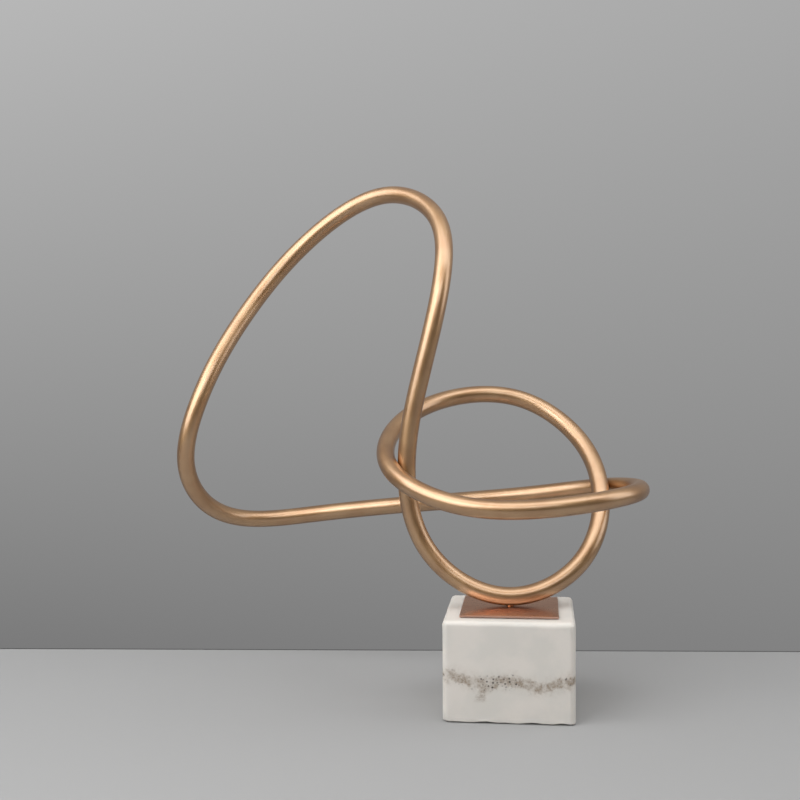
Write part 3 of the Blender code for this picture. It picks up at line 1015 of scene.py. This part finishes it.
@dataclass
class Pedestal:
    """The marble block, the plate on it and the foam pad under it."""

    block_foot: float = 0.0009
    block_height: float = 0.0585
    block_corner: float = 0.0036
    top_round: float = 0.0029
    top_wear: Wear = Wear(size=0.016, seed=1.0)
    foot_round: float = 0.0008
    foot_wear: Wear = Wear(size=0.007, seed=4.0)
    foot_drop: float = 0.00062
    drop_wear: Wear = Wear(size=0.009, seed=9.0)
    hollow: float = 0.00022
    hollow_size: float = 0.019
    flat_from: float = 0.0285
    chip_reach: float = 0.0042
    chip_depth: float = 0.0007
    chip_grain: float = 0.0012
    plate_foot: float = 0.0597
    plate_thickness: float = 0.0010
    plate_corner: float = 0.0007
    plate_edge: float = 0.00022
    bolt_hole: float = 0.0024
    recess_radius: float = 0.0075
    recess_depth: float = 0.0100
    marble: Finish = VeinedMarble()
    plating: Finish = RosePlating()
    foam: Finish = BlackFoam()

    def build(self) -> list[bpy.types.Object]:
        """Dresses the pad, and builds the block and the plate.

        Returns:
            The block and the plate.
        """
        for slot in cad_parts["base_pad"].material_slots:
            slot.material = self.foam.make()
        return [self.block(), self.plate()]

    def block(self) -> bpy.types.Object:
        """The block: hand-softened edges, an uneven foot, slightly hollow faces and one chipped corner.

        Returns:
            The block.
        """
        slab = SoftSlab(
            BLOCK_SIDE, self.block_foot, self.block_height, self.block_corner, self.bolt_hole,
            self.recess_radius, self.recess_depth,
        )
        outline = sum(slab.outline())
        top_round = self.top_round * (1 + 0.16 * self.top_wear.along(outline))
        foot_round = self.foot_round * (1 + 0.55 * self.foot_wear.along(outline))
        foot_drop = self.foot_drop * np.clip(0.62 + 1.7 * self.drop_wear.along(outline), 0.0, 1.0)
        mesh = ring_mesh("marble_block_soft", slab.rings(top_round, foot_round, foot_drop))
        self.soften(mesh)
        block = add_piece("marble_block_soft", mesh, self.marble)
        mesh.set_sharp_from_angle(angle=SHARP_ANGLE)
        stand_in_for(block, Slot.MARBLE, "marble_block")
        return block

    def soften(self, mesh: bpy.types.Mesh) -> None:
        """Moves the block's skin inwards a little: slow hollows all over, a chip at the front left foot.

        Args:
            mesh: the block's mesh.
        """
        half = BLOCK_SIDE / 2
        chip = Vector((-half, -half, self.block_foot))
        middle = Vector((0.0, 0.0, self.block_foot + self.block_height / 2))
        for vertex in mesh.vertices:
            place = vertex.co
            if math.hypot(place.x, place.y) < self.recess_radius * 1.5:
                continue
            near = max(0.0, 1 - (place - chip).length / self.chip_reach)
            depth = self.hollow * (0.5 + 0.5 * noise.noise(place / self.hollow_size))
            depth += self.chip_depth * near * (1.2 + noise.noise(place / self.chip_grain))
            inward = (middle - place).normalized()
            if not near and abs(place.z - middle.z) > self.flat_from:
                inward = Vector((0.0, 0.0, math.copysign(1.0, inward.z)))
            vertex.co = place + inward * depth

    def plate(self) -> bpy.types.Object:
        """The thin plate with its eased edges and its bolt hole.

        Returns:
            The plate.
        """
        slab = SoftSlab(
            PLATE_SIDE, self.plate_foot, self.plate_thickness, self.plate_corner, self.bolt_hole,
            side_points=12, corner_points=5, rim_steps=4, upright_steps=3, cap_steps=6,
        )
        mesh = ring_mesh("rose_plate", slab.rings(self.plate_edge, self.plate_edge))
        plate = add_piece("rose_plate", mesh, self.plating)
        mesh.set_sharp_from_angle(angle=SHARP_ANGLE)
        stand_in_for(plate, Slot.PLATING, "foot_plate")
        return plate


@dataclass
class Fixings:
    """The steel pieces out of sight, which keep their solids and get their finish."""

    names: tuple[str, ...] = (
        "fixing_bolt", "flat_washer", "spring_washer", "back_joint_sleeve", "hidden_joint_sleeve",
        "foot_plug",
    )
    steel: Finish = ZincSteel()

    def build(self) -> list[bpy.types.Object]:
        """Dresses the solids.

        Returns:
            The solids.
        """
        zinc = self.steel.make()
        nodes = [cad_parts[name] for name in self.names]
        for node in nodes:
            for slot in node.material_slots:
                slot.material = zinc
        return nodes


@dataclass(frozen=True)
class SoftBox:
    """One rectangular lamp of the studio."""

    name: str
    place: Place
    width: float
    height: float
    power: float
    aim: Place = SCULPTURE_MIDDLE

    def hang(self) -> bpy.types.Object:
        """Hangs the lamp, facing its aim and unseen by the camera.

        Returns:
            The lamp.
        """
        data = bpy.data.lights.new(self.name, "AREA")
        data.shape = "RECTANGLE"
        data.size, data.size_y = self.width, self.height
        data.energy = self.power
        lamp = bpy.data.objects.new(self.name, data)
        bpy.context.scene.collection.objects.link(lamp)
        lamp.location = self.place
        lamp.rotation_mode = "QUATERNION"
        lamp.rotation_quaternion = (Vector(self.aim) - Vector(self.place)).to_track_quat("-Z", "Y")
        lamp.visible_camera = False
        return lamp


@dataclass
class Studio:
    """Floor, backdrop, surroundings, lamps and camera."""

    reach: float = 2.4
    wall_height: float = 2.2
    wall_offset: float = 0.1312
    wall_slope: float = 0.0725
    room_front: float = 0.06
    room_back: float = 0.20
    room_turn: Span = (-0.6, 0.9)
    lens: float = 53.955
    distance: float = 0.72179
    height: float = 0.21645
    tilt: float = 2.3927
    heading: float = -6.7025
    aside: float = -0.06588
    roll: float = -0.4218
    lamps: tuple[SoftBox, ...] = (
        SoftBox("overhead_box", (-0.060, -0.330, 1.150), 1.60, 0.56, 6.1, aim=(-0.06, -0.16, 0.17)),
        SoftBox("front_left_box", (-0.680, -0.620, 0.640), 0.95, 0.75, 6.4),
        SoftBox("front_box", (-0.060, -0.800, 0.780), 0.90, 0.32, 2.3),
        SoftBox("right_box", (0.800, 0.060, 0.640), 0.80, 0.90, 3.4),
        SoftBox("left_box", (-0.760, -0.080, 0.960), 0.45, 0.45, 1.0),
        SoftBox("top_back_box", (0.050, 0.340, 1.000), 0.90, 0.40, 1.6),
    )

    def build(self) -> None:
        """Sets up the whole studio."""
        self.floor()
        self.backdrop()
        self.world()
        for lamp in self.lamps:
            lamp.hang()
        self.camera()
        bpy.context.scene.view_settings.view_transform = "Standard"

    def board(self, name: str, corners: Sequence[Place], finish: Finish) -> None:
        """One flat board, as part of the stage.

        Args:
            name: the board's name.
            corners: its four corners in order.
            finish: its finish.
        """
        mesh = bpy.data.meshes.new(name)
        mesh.from_pydata(list(corners), [], [(0, 1, 2, 3)])
        add_piece(name, mesh, finish)

    def floor(self) -> None:
        """The pale floor."""
        far = self.reach
        corners = ((-far, -far, 0.0), (far, -far, 0.0), (far, far, 0.0), (-far, far, 0.0))
        self.board("studio_floor", corners, MattBoard())

    def backdrop(self) -> None:
        """The upright board close behind the sculpture, which throws no shadow."""
        far, high = self.reach, self.wall_height
        left = self.wall_offset - far * self.wall_slope
        right = self.wall_offset + far * self.wall_slope
        corners = ((-far, left, 0.0), (far, right, 0.0), (far, right, high), (-far, left, high))
        self.board("backdrop", corners, EvenBackdrop())
        bpy.data.objects["backdrop"].visible_shadow = False

    def world(self) -> None:
        """Plain grey surroundings, darker towards the front, where the room is unlit."""
        world = bpy.data.worlds.new("studio_room")
        bpy.context.scene.world = world
        world.use_nodes = True
        sheet = ShaderSheet(world.node_tree)
        deep = sheet.parts(sheet.add("ShaderNodeTexCoord", output="Generated"))[1]
        back = deep.step(*self.room_turn)
        grey = sheet.blend(back, (self.room_front,) * 3, (self.room_back,) * 3)
        sheet.feed(world.node_tree.nodes["Background"].inputs["Color"], grey)

    def camera(self) -> None:
        """The camera, placed by its distance, height, heading, tilt and roll."""
        tilt, heading, roll = (math.radians(angle) for angle in (self.tilt, self.heading, self.roll))
        flat = math.cos(tilt)
        ahead = Vector((math.sin(heading) * flat, math.cos(heading) * flat, -math.sin(tilt)))
        level = Vector((math.cos(heading), -math.sin(heading), 0.0))
        up = level.cross(ahead)
        right = level * math.cos(roll) + up * math.sin(roll)
        up = up * math.cos(roll) - level * math.sin(roll)
        data = bpy.data.cameras.new("studio_camera")
        data.lens = self.lens
        camera = bpy.data.objects.new("studio_camera", data)
        bpy.context.scene.collection.objects.link(camera)
        turn = Matrix((right, up, -ahead)).transposed().to_4x4()
        turn.translation = (
            self.aside * math.cos(heading) - self.distance * math.sin(heading),
            -self.aside * math.sin(heading) - self.distance * math.cos(heading),
            self.height,
        )
        camera.matrix_world = turn
        bpy.context.scene.camera = camera


def main() -> None:
    """Builds the dressed sculpture and its studio."""
    logging.basicConfig(level=logging.INFO, format="%(name)s: %(message)s")
    tube = BentTube().build()
    LOG.info("%s: %d faces", tube.name, len(tube.data.polygons))
    for piece in Pedestal().build():
        LOG.info("%s: %d faces", piece.name, len(piece.data.polygons))
    for node in Fixings().build():
        LOG.info("%s: dressed", node.name)
    Studio().build()
    LOG.info("studio: ready")


if __name__ == "__main__":
    main()
